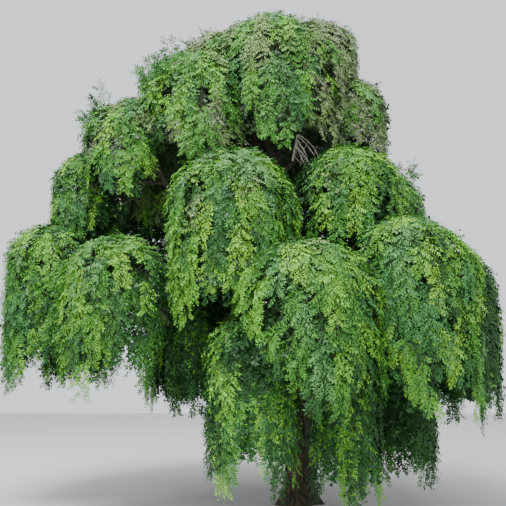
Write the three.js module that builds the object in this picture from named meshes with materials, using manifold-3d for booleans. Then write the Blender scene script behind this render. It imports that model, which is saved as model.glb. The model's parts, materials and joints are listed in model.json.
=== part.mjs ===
// A weeping pagoda tree in leaf: a short trunk with a root flare, boughs that arch up and out of
// its head, and domed masses of hanging foliage round the open space under the crown.
// Millimetres, +Z up. The origin is the middle of the trunk's flat cut at ground level.

import * as THREE from 'three';
import { mergeVertices } from 'three/addons/utils/BufferGeometryUtils.js';
import Module from 'manifold-3d';

const wasm = await Module();
wasm.setup();

// Driving sizes of the trunk.
const TRUNK_RADIUS = 198;
const TRUNK_TOP_RADIUS = 175;
const TRUNK_HEIGHT = 2350;
const TRUNK_SIDES = 20;
const TRUNK_RINGS = 9;
const RING_CROWDING = 1.6;
const TRUNK_LEAN = new THREE.Vector3(-60, 30, 0);
const TRUNK_BEND = 25;

// The root flare, and the swollen head that the boughs grow out of.
const FLARE_REACH = 125;
const FLARE_HEIGHT = 170;
const FLARE_ROOTS = 5;
const ROOT_DEPTH = 0.35;
const ROOT_TURN = 0.8;
const RIB_DEPTH = 5;
const HEAD_SWELL = 50;
const HEAD_START = 0.8;
const HEAD_RINGS = [[0.65, 0.8], [1, 0.4]];
const HEAD_DEPTH = 130;

// Driving sizes of the boughs.
const BOUGH_SIDES = 6;
const BOUGH_STEP = 480;
const FEWEST_STEPS = 4;
const BOUGH_TIP_RADIUS = 30;
const BOUGH_THICKENING = 0.021;
const LOAD_THICKENING = 0.02;
const THICKEST_BOUGH = 112;
const SHARE_OF_PARENT = 0.8;
const TIP_OF_FOOT = 0.7;
const TAPER_POWER = 0.8;
const BOUGH_CROOK = 0.035;
const LEAVE_OUTWARD = 0.35;
const LEAVE_UPWARD = 0.35;
const LEAVE_ALONG = 0.7;
const FOOT_PULL = 0.38;
const TIP_PULL = 0.34;
const SEAT_GAP = 0.3;
const FIRST_SIDE = new THREE.Vector3(1, 0.2, 0.1);

// The first draw of each kind of chance that a limb, twig or spray takes.
const CROOK_DRAWS = [0, 20, 40];
const TWIG_DRAW = 10;
const SPRAY_DRAW = 30;
const DRAWS_A_TWIG = 7;
const BARE_SPREAD_DRAW = 20;
const BARE_DROP_DRAW = 40;
const BARE_ARCH_DRAW = 60;
const BARE_DRIFT_DRAW = 80;

// The crown's own middle, which every mass turns its open side to.
const CROWN_MIDDLE = new THREE.Vector3(-450, 250, 0);

// The number of main twigs in a mass, each of which lifts one lobe of its dome.
const TWIGS = 5;

// The dome that a mass's shoots arch over, and the curtain that hangs from its edge.
const CAP_RISE = 0.85;
const CAP_LIMIT = 0.55;
const CAP_SHARE = 0.45;
const CURTAIN_TUCK = 0.1;
const LOBE_DEPTH = 0.1;
const HEM_WAVES = 5;
const HEM_WAVE_DEPTH = 0.09;
const OPEN_FROM = 0.6;
const OPEN_TO = 0.92;
const OPEN_DROP = 60;

// The smaller core that twigs and sprays stand out of.
const CORE_OUTSIDE = 0.93;
const CORE_INSIDE = 0.76;
const CORE_SIDES = 10;
const CORE_RINGS = [0.2, 0.43, 0.93];

// The stem, the twigs and the sprays of leaves, each of which is one blade here.
const STEM_SIDES = 5;
const STEM_FOOT = 0.8;
const STEM_LEAN = 0.4;
const STEM_RADII = [27, 18];
const TWIG_SIDES = 3;
const TWIG_RADIUS = 13;
const TWIG_SINK = 0.85;
const TWIG_STEPS = [0, 0.2, 0.43, 1];
const TWIG_TAPER = 0.1;
const TWIG_SWING = 0.2;
const SPRAY_STEPS = [0.24, 0.52, 0.84, 0.84];
const SPRAY_SHARE = 0.46;
const SHORTEST_SPRAY = 230;
const LONGEST_SPRAY = 450;
const SPRAY_WIDTH = 0.34;
const SPRAY_WIDEST = 0.45;
const SPRAY_THICKNESS = 0.05;
const SPRAY_SPREAD = 0.5;
const SPRAY_LEAN = 0.25;
const SPRAY_DROOP = 0.3;
const SPRAY_AIM = 0.1;
const MOST_REACH = 1.08;
const LOWEST_REACH = 40;
const SPACE_MARGIN = 8;
const BLOCK_SIZE = 4;
const LIMB_MARGIN = 18;

// Each mass: the middle of its dome, the dome's radius, its top and its hem above the ground,
// and the limb that its bough leaves, with the share of that limb's length where it does.
const MASSES = [
  mass('top_front', -330, -400, 1180, 7130, 4700, 'trunk', 0.96),
  mass('top_right', 450, 400, 720, 7600, 5700, 'top_front', 0.62),
  mass('top_rear', -1080, 750, 980, 7560, 5100, 'top_front', 0.55),
  mass('upper_right', 900, -80, 600, 6300, 4850, 'top_front', 0.58),
  mass('upper_left', -1400, -550, 950, 6500, 4500, 'left_shoulder', 0.62),
  mass('left_shoulder', -2420, -300, 820, 5850, 4100, 'trunk', 0.93),
  mass('left_outer', -3100, 150, 680, 5200, 3450, 'left_shoulder', 0.8),
  mass('upper_rear_left', -1880, 1100, 980, 6100, 3850, 'left_shoulder', 0.5),
  mass('upper_rear', 200, 1650, 1060, 6850, 4250, 'top_front', 0.35),
  mass('middle_front', -900, -1550, 880, 4600, 2100, 'trunk', 0.9),
  mass('middle_right', 700, -1000, 770, 4850, 3200, 'trunk', 0.97),
  mass('middle_far_right', 1300, -300, 600, 4720, 3100, 'middle_right', 0.45),
  mass('middle_rear_right', 1400, 1150, 900, 5000, 2950, 'middle_rear', 0.45),
  mass('middle_rear', -350, 2150, 1000, 4950, 2700, 'trunk', 0.94),
  mass('middle_rear_left', -2650, 1650, 900, 4850, 2650, 'low_left', 0.55),
  mass('low_left_front', -2400, -1150, 780, 3560, 1450, 'low_left', 0.42),
  mass('low_left', -3560, -250, 680, 3950, 1500, 'trunk', 0.86),
  mass('low_left_rear', -3300, 1050, 720, 3700, 1450, 'low_left', 0.72),
  mass('low_rear_left', -1650, 2500, 1000, 3550, 1050, 'middle_rear', 0.5),
  mass('low_rear_right', 650, 2600, 1050, 3550, 900, 'low_right_rear', 0.3),
  mass('low_right_rear', 2230, 850, 800, 3350, 1050, 'trunk', 0.88),
  mass('low_right', 2200, -400, 660, 3500, 1100, 'low_right_front', 0.55),
  mass('low_right_front', 1300, -1450, 950, 3750, 1050, 'trunk', 0.83),
  mass('low_front', -10, -2050, 920, 3300, 1200, 'trunk', 0.79),
  mass('front_left_curtain', -640, -1920, 550, 2450, 400, 'low_front', 0.4),
  mass('front_right_curtain', 480, -1350, 460, 2000, 180, 'low_front', 0.5),
  mass('right_curtain', 1330, -420, 560, 2150, 330, 'low_right_front', 0.35),
  mass('inner_left_curtain', -1400, -480, 430, 2850, 1200, 'middle_front', 0.3),
];

// The bare, dead twigs that hang from one bough, in the gap under the topmost mass.
const BARE_LIMB = 'upper_right';
const BARE_PLACE = 0.3;
const BARE_TWIGS = 9;
const BARE_STEPS = [0, 0.25, 0.5, 0.75, 1];
const BARE_DROP = 460;
const BARE_LEAST_DROP = 0.6;
const BARE_SPREAD = 170;
const BARE_LEAST_SPREAD = 0.35;
const BARE_TURN_SWING = 0.5;
const BARE_LEAST_ARCH = 1.1;
const BARE_MOST_ARCH = 2.6;
const BARE_DRIFT = 1.1;
const BARE_FALL = 1.25;
const BARE_RADIUS = 9;
const BARE_TAPER = 0.2;
const BARE_LEAN = new THREE.Vector3(170, -60, 0);
const BARE_STEM = new THREE.Vector3(60, -360, 320);
const BARE_STEM_RADII = [16, 13];
const BARE_FORK = 0.55;

const BARK = new THREE.MeshStandardMaterial({ color: 0x3d3a30, roughness: 0.95, metalness: 0 });
const BARE_WOOD = new THREE.MeshStandardMaterial({ color: 0x9a8f80, roughness: 0.9, metalness: 0 });
const GREENS = [0x4f7f35, 0x5c8d3b, 0x3f6f33, 0x6b8a45].map(
  (color) => new THREE.MeshStandardMaterial({ color, roughness: 0.6, metalness: 0 }),
);

function mass(name, x, y, radius, top, hem, parent, share) {
  return { name, x, y, radius, top, hem, parent, share };
}

// A number from 0 to 1 that depends only on its two whole numbers.
function chance(seed, draw) {
  const wave = Math.sin(seed * 12.9898 + draw * 78.233) * 43758.5453;
  return wave - Math.floor(wave);
}

// A closed surface through rings of points, each with a point or a flat cap at its two ends.
function loft(rings) {
  const places = [];
  const starts = rings.map((ring) => {
    const start = places.length / 3;
    ring.forEach((p) => places.push(p.x, p.y, p.z));
    return start;
  });
  const faces = [];
  for (let r = 0; r + 1 < rings.length; r += 1) {
    const low = rings[r].length;
    const high = rings[r + 1].length;
    for (let k = 0; k < Math.max(low, high); k += 1) {
      const a = starts[r] + (k % low);
      const b = starts[r] + ((k + 1) % low);
      const c = starts[r + 1] + ((k + 1) % high);
      const d = starts[r + 1] + (k % high);
      if (low > 1) faces.push(a, b, c);
      if (high > 1) faces.push(a, c, d);
    }
  }
  const last = rings.length - 1;
  for (let k = 1; k + 1 < rings[0].length; k += 1) {
    faces.push(starts[0], starts[0] + k + 1, starts[0] + k);
  }
  for (let k = 1; k + 1 < rings[last].length; k += 1) {
    faces.push(starts[last], starts[last] + k, starts[last] + k + 1);
  }
  const geometry = new THREE.BufferGeometry();
  geometry.setAttribute('position', new THREE.Float32BufferAttribute(places, 3));
  geometry.setIndex(faces);
  return geometry;
}

function solidOf(geometry) {
  geometry.deleteAttribute('normal');
  geometry.deleteAttribute('uv');
  const joined = mergeVertices(geometry);
  return new wasm.Manifold(new wasm.Mesh({
    numProp: 3,
    vertProperties: new Float32Array(joined.getAttribute('position').array),
    triVerts: new Uint32Array(joined.getIndex().array),
  }));
}

function geometryOf(solid) {
  const shape = solid.getMesh();
  const places = new Float32Array(shape.numVert * 3);
  for (let k = 0; k < shape.numVert; k += 1) {
    places.set(shape.vertProperties.subarray(k * shape.numProp, k * shape.numProp + 3), k * 3);
  }
  const geometry = new THREE.BufferGeometry();
  geometry.setAttribute('position', new THREE.BufferAttribute(places, 3));
  geometry.setIndex(new THREE.BufferAttribute(shape.triVerts, 1));
  return geometry;
}

function largestBody(solid) {
  return solid.decompose().reduce((best, body) => (body.volume() > best.volume() ? body : best));
}

// A round limb that follows a line of points, with a radius for each.
function limbSolid(line, radii, sides) {
  let side = FIRST_SIDE;
  const rings = line.map((point, k) => {
    const along = line[Math.min(k + 1, line.length - 1)].clone().sub(line[Math.max(k - 1, 0)]);
    along.normalize();
    side = side.clone().addScaledVector(along, -side.dot(along)).normalize();
    const across = along.clone().cross(side);
    return Array.from({ length: sides }, (_, corner) => {
      const turn = (2 * Math.PI * corner) / sides;
      return point.clone()
        .addScaledVector(side, radii[k] * Math.cos(turn))
        .addScaledVector(across, radii[k] * Math.sin(turn));
    });
  });
  return solidOf(loft(rings));
}

// The trunk's middle at a share of its height, and its radius there in one direction.
function trunkMiddle(share) {
  return new THREE.Vector3(
    TRUNK_LEAN.x * share * share + TRUNK_BEND * Math.sin(share * Math.PI),
    TRUNK_LEAN.y * share,
    TRUNK_HEIGHT * share,
  );
}

function trunkRadius(share, turn) {
  const taper = THREE.MathUtils.lerp(TRUNK_RADIUS, TRUNK_TOP_RADIUS, share);
  const head = HEAD_SWELL * THREE.MathUtils.smoothstep(share, HEAD_START, 1);
  const flare = FLARE_REACH * Math.exp((-share * TRUNK_HEIGHT) / FLARE_HEIGHT);
  const root = Math.cos(FLARE_ROOTS * turn + ROOT_TURN);
  return taper + head + RIB_DEPTH * root + flare * (1 + ROOT_DEPTH * root);
}

function trunkRing(share, extra, shrink = 1, lift = 0) {
  const middle = trunkMiddle(share);
  return Array.from({ length: TRUNK_SIDES }, (_, corner) => {
    const turn = (2 * Math.PI * corner) / TRUNK_SIDES;
    const radius = trunkRadius(share, turn) * shrink + extra;
    return new THREE.Vector3(
      middle.x + radius * Math.cos(turn),
      middle.y + radius * Math.sin(turn),
      middle.z + lift,
    );
  });
}

function trunkSolid(extra = 0) {
  const rings = [];
  for (let k = 0; k <= TRUNK_RINGS; k += 1) {
    rings.push(trunkRing((k / TRUNK_RINGS) ** RING_CROWDING, extra));
  }
  HEAD_RINGS.forEach(([lift, shrink]) => {
    rings.push(trunkRing(1, extra, shrink, HEAD_DEPTH * lift + extra));
  });
  return solidOf(loft(rings));
}

// Where a mass's stem starts and which way it points: up and outward, to the dome's top.
function stemOf(m) {
  const outward = new THREE.Vector3(m.x, m.y, 0).sub(CROWN_MIDDLE).setZ(0).normalize();
  const direction = new THREE.Vector3(0, 0, 1).addScaledVector(outward, STEM_LEAN).normalize();
  const cap = capHeight(m);
  const rise = cap * (STEM_FOOT - 1 + TWIG_SINK);
  const foot = new THREE.Vector3(m.x, m.y, m.top - STEM_FOOT * cap);
  foot.addScaledVector(outward, -STEM_LEAN * rise);
  const length = rise / direction.z;
  return { foot, direction, length, outward };
}

// Every bough's line of points and their radii, by the name of the mass that it carries.
const limbs = new Map();

function pointOn(limb, share) {
  if (limb === 'trunk') return trunkMiddle(share);
  const { line } = limbs.get(limb);
  const place = share * (line.length - 1);
  const low = Math.floor(place);
  return line[low].clone().lerp(line[low + 1], place - low);
}

function directionOn(limb, share) {
  const { line } = limbs.get(limb);
  const low = Math.floor(share * (line.length - 1));
  return line[low + 1].clone().sub(line[low]).normalize();
}

function radiusOn(limb, share) {
  if (limb === 'trunk') return THICKEST_BOUGH / SHARE_OF_PARENT;
  const { radii } = limbs.get(limb);
  const place = share * (radii.length - 1);
  const low = Math.floor(place);
  return THREE.MathUtils.lerp(radii[low], radii[low + 1], place - low);
}

// A bough arches up from inside its parent and ends at the foot of its mass's stem.
function boughLine(m, seed) {
  const { foot, direction, outward } = stemOf(m);
  const start = pointOn(m.parent, m.share);
  const reach = foot.distanceTo(start);
  const leave = foot.clone().sub(start).normalize();
  if (m.parent === 'trunk') {
    leave.addScaledVector(outward, LEAVE_OUTWARD);
    leave.z += LEAVE_UPWARD;
  } else {
    leave.addScaledVector(directionOn(m.parent, m.share), LEAVE_ALONG);
  }
  const curve = new THREE.CubicBezierCurve3(
    start,
    start.clone().addScaledVector(leave.normalize(), reach * FOOT_PULL),
    foot.clone().addScaledVector(direction, -reach * TIP_PULL),
    foot,
  );
  const steps = Math.max(FEWEST_STEPS, Math.round(curve.getLength() / BOUGH_STEP));
  const line = curve.getSpacedPoints(steps);
  line.forEach((point, k) => {
    const crook = BOUGH_CROOK * reach * Math.sin((k / steps) * Math.PI);
    const [x, y, z] = CROOK_DRAWS.map((draw) => crook * (chance(seed, k + draw) - 0.5));
    point.add(new THREE.Vector3(x, y, z));
  });
  line[steps - 1].copy(foot).addScaledVector(direction, -curve.getLength() / steps);
  return line;
}

function makeBough(m, seed) {
  const line = boughLine(m, seed);
  const length = line[0].distanceTo(line[line.length - 1]);
  const wanted = BOUGH_TIP_RADIUS + BOUGH_THICKENING * length + LOAD_THICKENING * m.radius;
  const most = SHARE_OF_PARENT * radiusOn(m.parent, m.share);
  const foot = Math.min(wanted, most, THICKEST_BOUGH);
  const tip = Math.min(BOUGH_TIP_RADIUS, foot * TIP_OF_FOOT);
  const radii = line.map((_, k) => (
    THREE.MathUtils.lerp(foot, tip, (k / (line.length - 1)) ** TAPER_POWER)));
  const earlier = [trunkSolid(SEAT_GAP), ...[...limbs.keys()].map((name) => thicker(name, SEAT_GAP))];
  limbs.set(m.name, { line, radii });
  const whole = limbSolid(line, radii, BOUGH_SIDES);
  return largestBody(earlier.reduce((rest, limb) => rest.subtract(limb), whole));
}

// A limb swollen all round, and at its two ends, by a clearance.
function thicker(name, extra) {
  const { line, radii } = limbs.get(name);
  const longer = line.map((point) => point.clone());
  const last = line.length - 1;
  longer[0].addScaledVector(line[0].clone().sub(line[1]).normalize(), extra);
  longer[last].addScaledVector(line[last].clone().sub(line[last - 1]).normalize(), extra);
  return limbSolid(longer, radii.map((r) => r + extra), BOUGH_SIDES);
}

// The outer surface of a mass. s runs from 0 at the top over the dome's edge to 1 at the hem.
function capHeight(m) {
  return Math.min(CAP_RISE * m.radius, CAP_LIMIT * (m.top - m.hem));
}

function inwardTurn(m) {
  return Math.atan2(CROWN_MIDDLE.y - m.y, CROWN_MIDDLE.x - m.x);
}

function hemHeight(m, turn, seed) {
  const facing = 0.5 + 0.5 * Math.cos(turn - inwardTurn(m));
  const open = THREE.MathUtils.smoothstep(facing, OPEN_FROM, OPEN_TO);
  const wave = Math.cos(HEM_WAVES * (turn - lobeTurn(seed, 0)));
  const full = m.hem + HEM_WAVE_DEPTH * (m.top - m.hem) * (1 - wave);
  return THREE.MathUtils.lerp(full, m.top - capHeight(m) - OPEN_DROP, open);
}

// Each twig lifts one lobe of the dome. The first one's direction depends on the mass.
function lobeTurn(seed, lobe) {
  return (2 * Math.PI * (lobe + chance(seed, 1))) / TWIGS;
}

function domePoint(m, seed, turn, s, swell = 1) {
  const valley = 0.5 - 0.5 * Math.cos(TWIGS * (turn - lobeTurn(seed, 0)));
  const edge = m.radius * (1 - LOBE_DEPTH * valley);
  const cap = capHeight(m);
  const springing = m.top - cap;
  const arch = Math.min(s / CAP_SHARE, 1) * (Math.PI / 2);
  const fall = Math.max(0, (s - CAP_SHARE) / (1 - CAP_SHARE));
  const out = edge * Math.sin(arch) * (1 - CURTAIN_TUCK * fall * fall) * swell;
  const z = springing + cap * Math.cos(arch) * swell
    - fall * (springing - hemHeight(m, turn, seed));
  return new THREE.Vector3(m.x + out * Math.cos(turn), m.y + out * Math.sin(turn), z);
}

// The flat borders between a mass and its neighbours: each keeps to its own side.
function middleOf(m) {
  return new THREE.Vector3(m.x, m.y, m.top - capHeight(m));
}

function reachAlong(m, direction) {
  const level = Math.hypot(direction.x, direction.y);
  const height = direction.z > 0 ? capHeight(m) : m.top - capHeight(m) - m.hem;
  return Math.hypot(m.radius * level, height * direction.z);
}

function bordersOf(m) {
  const here = middleOf(m);
  return MASSES.filter((other) => other !== m).map((other) => {
    const away = middleOf(other).sub(here);
    const distance = away.length();
    away.normalize();
    const mine = reachAlong(m, away);
    const theirs = reachAlong(other, away.clone().negate());
    return {
      normal: away,
      constant: away.dot(here) + (distance * mine) / (mine + theirs) - SPACE_MARGIN,
      near: mine + theirs + LONGEST_SPRAY > distance,
    };
  }).filter((border) => border.near);
}

function keepsInside(point, borders) {
  return borders.every((border) => border.normal.dot(point) < border.constant);
}

// All that lies past a mass's border, as one large block.
function pastBorder(m, border) {
  const size = BLOCK_SIZE * (m.radius + m.top - m.hem);
  const block = new THREE.BoxGeometry(size, size, size).translate(0, 0, size / 2);
  const turn = new THREE.Quaternion()
    .setFromUnitVectors(new THREE.Vector3(0, 0, 1), border.normal);
  const here = middleOf(m);
  here.addScaledVector(border.normal, border.constant - border.normal.dot(here));
  return solidOf(block.applyQuaternion(turn).translate(here.x, here.y, here.z));
}

function makeCore(m, seed) {
  const top = (swell) => [domePoint(m, seed, 0, 0, swell)];
  const ring = (s, swell) => Array.from({ length: CORE_SIDES }, (_, corner) => (
    domePoint(m, seed, lobeTurn(seed, (corner * TWIGS) / CORE_SIDES), s, swell)));
  return solidOf(loft([
    top(CORE_INSIDE),
    ...CORE_RINGS.map((s) => ring(s, CORE_INSIDE)),
    ...[...CORE_RINGS].reverse().map((s) => ring(s, CORE_OUTSIDE)),
    top(CORE_OUTSIDE),
  ]));
}

// One spray of leaves: a thin pointed blade of eight faces.
function spraySolid(root, tip, flatSide) {
  const along = tip.clone().sub(root);
  const length = along.length();
  along.normalize();
  const across = flatSide.clone().cross(along).normalize();
  const up = along.clone().cross(across);
  const middle = root.clone().addScaledVector(along, length * SPRAY_WIDEST);
  const half = (length * SPRAY_WIDTH) / 2;
  const thick = (length * SPRAY_THICKNESS) / 2;
  const ring = [
    middle.clone().addScaledVector(across, half),
    middle.clone().addScaledVector(up, thick),
    middle.clone().addScaledVector(across, -half),
    middle.clone().addScaledVector(up, -thick),
  ];
  return { corners: [root, tip, ...ring], solid: solidOf(loft([[root], ring, [tip]])) };
}

// The twigs of a mass arch over its dome from the stem and hang below the core.
function twigLine(m, seed, twig, borders) {
  const turn = lobeTurn(seed, twig + TWIG_SWING * (chance(seed, twig + TWIG_DRAW) - 0.5));
  const line = [];
  for (const s of TWIG_STEPS) {
    const point = domePoint(m, seed, turn, s, TWIG_SINK);
    if (!keepsInside(point, borders)) break;
    line.push(point);
  }
  return { turn, line };
}

function spraysOf(m, seed, twig, turn, borders) {
  const length = THREE.MathUtils.clamp(SPRAY_SHARE * m.radius, SHORTEST_SPRAY, LONGEST_SPRAY);
  const sprays = [];
  SPRAY_STEPS.forEach((s, k) => {
    const side = (k + twig) % 2 ? 1 : -1;
    const swing = turn + (side * SPRAY_SPREAD * Math.PI) / TWIGS;
    const root = domePoint(m, seed, swing, s, TWIG_SINK);
    const outside = domePoint(m, seed, swing, s, 1).sub(root).normalize();
    const away = domePoint(m, seed, swing, s + SPRAY_AIM, TWIG_SINK).sub(root).normalize();
    const lean = SPRAY_LEAN * (1 + chance(seed, SPRAY_DRAW + twig * DRAWS_A_TWIG + k));
    away.addScaledVector(outside, lean).add(new THREE.Vector3(0, 0, -SPRAY_DROOP));
    const tip = root.clone().addScaledVector(away.normalize(), length);
    const blade = spraySolid(root, tip, outside);
    const level = Math.hypot(tip.x - m.x, tip.y - m.y);
    const inReach = level < m.radius * MOST_REACH && tip.z > m.hem - LOWEST_REACH;
    if (inReach && blade.corners.every((corner) => keepsInside(corner, borders))) {
      sprays.push(blade.solid);
    }
  });
  return sprays;
}

function clearOf(solid, obstacles) {
  return obstacles.every((obstacle) => solid.intersect(obstacle).isEmpty());
}

function makeMass(m, seed, obstacles) {
  const borders = bordersOf(m);
  const { foot, direction, length } = stemOf(m);
  const start = foot.clone().addScaledVector(direction, SEAT_GAP);
  const end = start.clone().addScaledVector(direction, length);
  const stem = limbSolid([start, end], STEM_RADII, STEM_SIDES);
  const cutters = [...borders.map((border) => pastBorder(m, border)), ...obstacles];
  const core = cutters.reduce((rest, cutter) => rest.subtract(cutter), makeCore(m, seed));
  const pieces = [];
  for (let twig = 0; twig < TWIGS; twig += 1) {
    const { turn, line } = twigLine(m, seed, twig, borders);
    if (line.length < 2) continue;
    const radii = line.map((_, k) => TWIG_RADIUS * (1 - TWIG_TAPER * k));
    pieces.push(limbSolid(line, radii, TWIG_SIDES));
    pieces.push(...spraysOf(m, seed, twig, turn, borders));
  }
  const kept = pieces.filter((piece) => clearOf(piece, obstacles));
  return largestBody(wasm.Manifold.union([core, stem, ...kept]));
}

// Thin dead twigs that leave one short stem and hang from it.
function makeBareTwigs(seed) {
  const root = pointOn(BARE_LIMB, BARE_PLACE);
  const end = root.clone().add(BARE_STEM);
  const pieces = [limbSolid([root, end], BARE_STEM_RADII, STEM_SIDES)];
  for (let twig = 0; twig < BARE_TWIGS; twig += 1) {
    const place = THREE.MathUtils.lerp(BARE_FORK, 1, twig / (BARE_TWIGS - 1));
    const fork = root.clone().lerp(end, place);
    const turn = (2 * Math.PI * (twig + BARE_TURN_SWING * chance(seed, twig))) / BARE_TWIGS;
    const spread = chance(seed, twig + BARE_SPREAD_DRAW);
    const out = BARE_SPREAD * THREE.MathUtils.lerp(BARE_LEAST_SPREAD, 1, spread);
    const fall = chance(seed, twig + BARE_DROP_DRAW);
    const drop = BARE_DROP * THREE.MathUtils.lerp(BARE_LEAST_DROP, 1, fall);
    const bend = chance(seed, twig + BARE_ARCH_DRAW);
    const arch = THREE.MathUtils.lerp(BARE_LEAST_ARCH, BARE_MOST_ARCH, bend);
    const drift = BARE_DRIFT * (chance(seed, twig + BARE_DRIFT_DRAW) - 0.5);
    const line = BARE_STEPS.map((share) => new THREE.Vector3(
      fork.x + out * Math.cos(turn + drift * share) * Math.sin(share * arch) + BARE_LEAN.x * share,
      fork.y + out * Math.sin(turn + drift * share) * Math.sin(share * arch) + BARE_LEAN.y * share,
      fork.z - drop * share ** BARE_FALL,
    ));
    const radii = line.map((_, k) => BARE_RADIUS * (1 - BARE_TAPER * k));
    pieces.push(limbSolid(line, radii, TWIG_SIDES));
  }
  return largestBody(wasm.Manifold.union(pieces).subtract(thicker(BARE_LIMB, SEAT_GAP)));
}

const tree = new THREE.Group();
tree.name = 'weeping_pagoda_tree';

function addPart(name, solid, material) {
  const mesh = new THREE.Mesh(geometryOf(solid), material.clone());
  mesh.name = name;
  tree.add(mesh);
}

// Limbs are made in an order that has every parent before its children.
function limbOrder() {
  const ready = new Set(['trunk']);
  const order = [];
  while (order.length < MASSES.length) {
    const next = MASSES.filter((m) => ready.has(m.parent) && !ready.has(m.name));
    next.forEach((m) => {
      ready.add(m.name);
      order.push(m);
    });
  }
  return order;
}

addPart('trunk', trunkSolid(), BARK);
limbOrder().forEach((m) => {
  addPart(`bough_${m.name}`, makeBough(m, MASSES.indexOf(m) + 1), BARK);
});

const clearances = [trunkSolid(LIMB_MARGIN), ...[...limbs.keys()].map((name) => (
  thicker(name, LIMB_MARGIN)))];

MASSES.forEach((m, k) => {
  addPart(`foliage_${m.name}`, makeMass(m, k + 1, clearances), GREENS[k % GREENS.length]);
});

addPart('bare_twigs', makeBareTwigs(MASSES.length + 1), BARE_WOOD);

export default tree;
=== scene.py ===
# A weeping pagoda tree in full leaf, dressed in its frame: furrowed bark on trunk and boughs,
# shoots that arch over each dome of the crown and hang from its edge, and pinnate leaves on them.
# Metres, +Z up. Limbs and masses follow the table and rules of the part's source, carried on
# from each mass's main twigs to side twigs, hanging shoots and leaves.

import json
import math
from collections import defaultdict, namedtuple

import bpy
import numpy as np
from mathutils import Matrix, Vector

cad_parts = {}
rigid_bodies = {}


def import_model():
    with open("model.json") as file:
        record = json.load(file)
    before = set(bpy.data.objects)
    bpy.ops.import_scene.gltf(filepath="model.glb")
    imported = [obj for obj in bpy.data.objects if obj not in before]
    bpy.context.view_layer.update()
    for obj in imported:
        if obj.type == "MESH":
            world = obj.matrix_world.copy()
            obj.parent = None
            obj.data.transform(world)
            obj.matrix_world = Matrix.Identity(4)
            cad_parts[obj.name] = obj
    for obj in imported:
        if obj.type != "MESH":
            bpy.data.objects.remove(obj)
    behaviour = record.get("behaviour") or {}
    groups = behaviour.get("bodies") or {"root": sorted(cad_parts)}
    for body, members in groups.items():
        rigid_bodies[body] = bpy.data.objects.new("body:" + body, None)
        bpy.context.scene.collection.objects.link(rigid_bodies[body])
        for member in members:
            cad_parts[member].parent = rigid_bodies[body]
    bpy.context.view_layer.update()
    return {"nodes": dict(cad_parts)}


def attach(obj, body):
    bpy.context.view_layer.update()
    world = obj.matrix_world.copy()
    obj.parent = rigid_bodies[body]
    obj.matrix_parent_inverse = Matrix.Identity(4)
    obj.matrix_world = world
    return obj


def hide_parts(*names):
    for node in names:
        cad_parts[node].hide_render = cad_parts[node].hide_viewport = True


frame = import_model()
cad_nodes = sorted(frame["nodes"])

# Driving sizes of the trunk, with its root flare and the swollen head that the boughs grow out of.
TRUNK_RADIUS = 0.198
TRUNK_TOP_RADIUS = 0.175
TRUNK_HEIGHT = 2.35
TRUNK_LEAN = np.array([-0.06, 0.03])
TRUNK_BEND = 0.025
FLARE_REACH = 0.125
FLARE_HEIGHT = 0.17
FLARE_ROOTS = 5
ROOT_DEPTH = 0.35
ROOT_TURN = 0.8
RIB_DEPTH = 0.005
HEAD_SWELL = 0.05
HEAD_START = 0.8
HEAD_DEPTH = 0.13

# Driving sizes of the boughs.
BOUGH_STEP = 0.48
FEWEST_STEPS = 4
BOUGH_TIP_RADIUS = 0.03
BOUGH_THICKENING = 0.021
LOAD_THICKENING = 0.02
THICKEST_BOUGH = 0.112
SHARE_OF_PARENT = 0.8
TIP_OF_FOOT = 0.7
TAPER_POWER = 0.8
BOUGH_CROOK = 0.035
CROOK_DRAWS = [0, 20, 40]
LEAVE_OUTWARD = 0.35
LEAVE_UPWARD = 0.35
LEAVE_ALONG = 0.7
FOOT_PULL = 0.38
TIP_PULL = 0.34
CURVE_SAMPLES = 201
ANY_SIDE = np.array([1.0, 0.2, 0.1])

# The crown's own middle, which every mass turns its open side to.
CROWN_MIDDLE = np.array([-0.45, 0.25])

# The dome of each mass, the curtain that hangs from its edge, and its stem and main twigs.
TWIGS = 5
CAP_RISE = 0.85
CAP_LIMIT = 0.55
CAP_SHARE = 0.45
CURTAIN_TUCK = 0.1
LOBE_DEPTH = 0.1
HEM_WAVES = 5
HEM_WAVE_DEPTH = 0.09
OPEN_FROM = 0.6
OPEN_TO = 0.92
OPEN_DROP = 0.06
STEM_FOOT = 0.8
STEM_LEAN = 0.4
STEM_TIP_RADIUS = 0.018
TWIG_RADIUS = 0.013
TWIG_TAPER = 0.3
TWIG_SIDES = 5
TWIG_SINK = 0.85
TWIG_SWING = 0.2
TWIG_DRAW = 10
TWIG_LEVELS = np.array([0.14, 0.26, 0.38, 0.5, 0.62, 0.74])
LOWEST_TWIG_FOOT = 0.45
TWIG_FOOT_STEP = 0.1
MOST_REACH = 1.08
LOWEST_REACH = 0.04

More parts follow.
